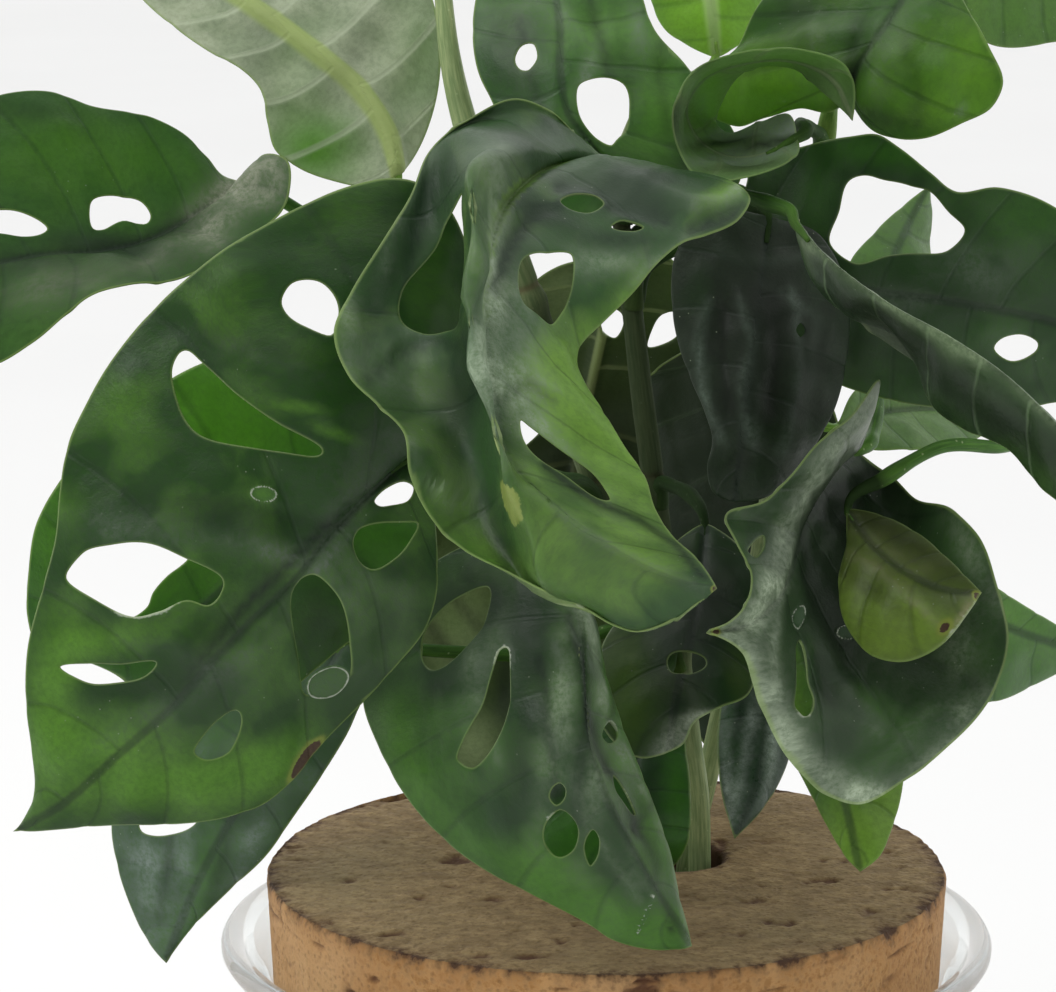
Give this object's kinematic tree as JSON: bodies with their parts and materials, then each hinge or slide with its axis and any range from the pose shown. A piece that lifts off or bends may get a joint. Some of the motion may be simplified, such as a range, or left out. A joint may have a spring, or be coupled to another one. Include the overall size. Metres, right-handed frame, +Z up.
{
  "type": "monstera adansonii in a glass jar",
  "caption": "Swiss cheese vine: long holed leaves on thin stems that rise through a hole in a thick cork lid, set in the mouth of a clear glass jar of water with roots.",
  "frame": {"origin": "middle of the glass jar's flat foot, on the surface that it stands on", "axes": "+Z up, -Y towards the side that the leaves face, +X to the right of that side"},
  "size_m": [0.2202, 0.184, 0.3088],
  "materials": {
    "leaf_dark": "satin",
    "leaf_mid": "satin",
    "leaf_fresh": "satin",
    "leaf_dusty": "satin",
    "leaf_pale": "satin",
    "leaf_under": "matte",
    "leaf_olive": "satin",
    "leaf_new": "satin",
    "petiole": "satin",
    "stem": "satin",
    "root": "matte",
    "cork": "matte",
    "glass": "polished",
    "water": "polished"
  },
  "bodies": {
    "root": {"cork_lid": "cork", "glass_jar": "glass", "water": "water", "roots": "root", "stem_1": "stem", "stem_2": "stem", "stem_3": "stem", "leaf_01": "leaf_dark", "leaf_02": "leaf_fresh", "leaf_03": "leaf_dark", "leaf_04": "leaf_dark", "leaf_05": "leaf_olive", "leaf_06": "leaf_mid", "leaf_07": "leaf_pale", "leaf_08": "leaf_dusty", "leaf_09": "leaf_dark", "leaf_10": "leaf_pale", "leaf_11": "leaf_fresh", "leaf_12": "leaf_dusty", "leaf_13": "leaf_pale", "leaf_14": "leaf_new", "leaf_15": "leaf_fresh", "leaf_16": "leaf_under", "leaf_17": "leaf_mid", "leaf_18": "leaf_mid", "leaf_19": "leaf_fresh", "leaf_20": "leaf_mid", "leaf_21": "leaf_dark", "leaf_22": "leaf_dusty", "leaf_23": "leaf_dark", "leaf_24": "leaf_pale", "leaf_25": "leaf_under", "leaf_26": "leaf_under", "petiole_01": "petiole", "petiole_02": "petiole", "petiole_03": "petiole", "petiole_04": "petiole", "petiole_05": "petiole", "petiole_06": "petiole", "petiole_07": "petiole", "petiole_08": "petiole", "petiole_09": "petiole", "petiole_10": "petiole", "petiole_11": "petiole", "petiole_12": "petiole", "petiole_13": "petiole", "petiole_14": "petiole", "petiole_15": "petiole", "petiole_16": "petiole", "petiole_17": "petiole", "petiole_18": "petiole", "petiole_19": "petiole", "petiole_20": "petiole", "petiole_21": "petiole", "petiole_22": "petiole", "petiole_23": "petiole", "petiole_24": "petiole", "petiole_25": "petiole", "petiole_26": "petiole"}
  },
  "joints": []
}
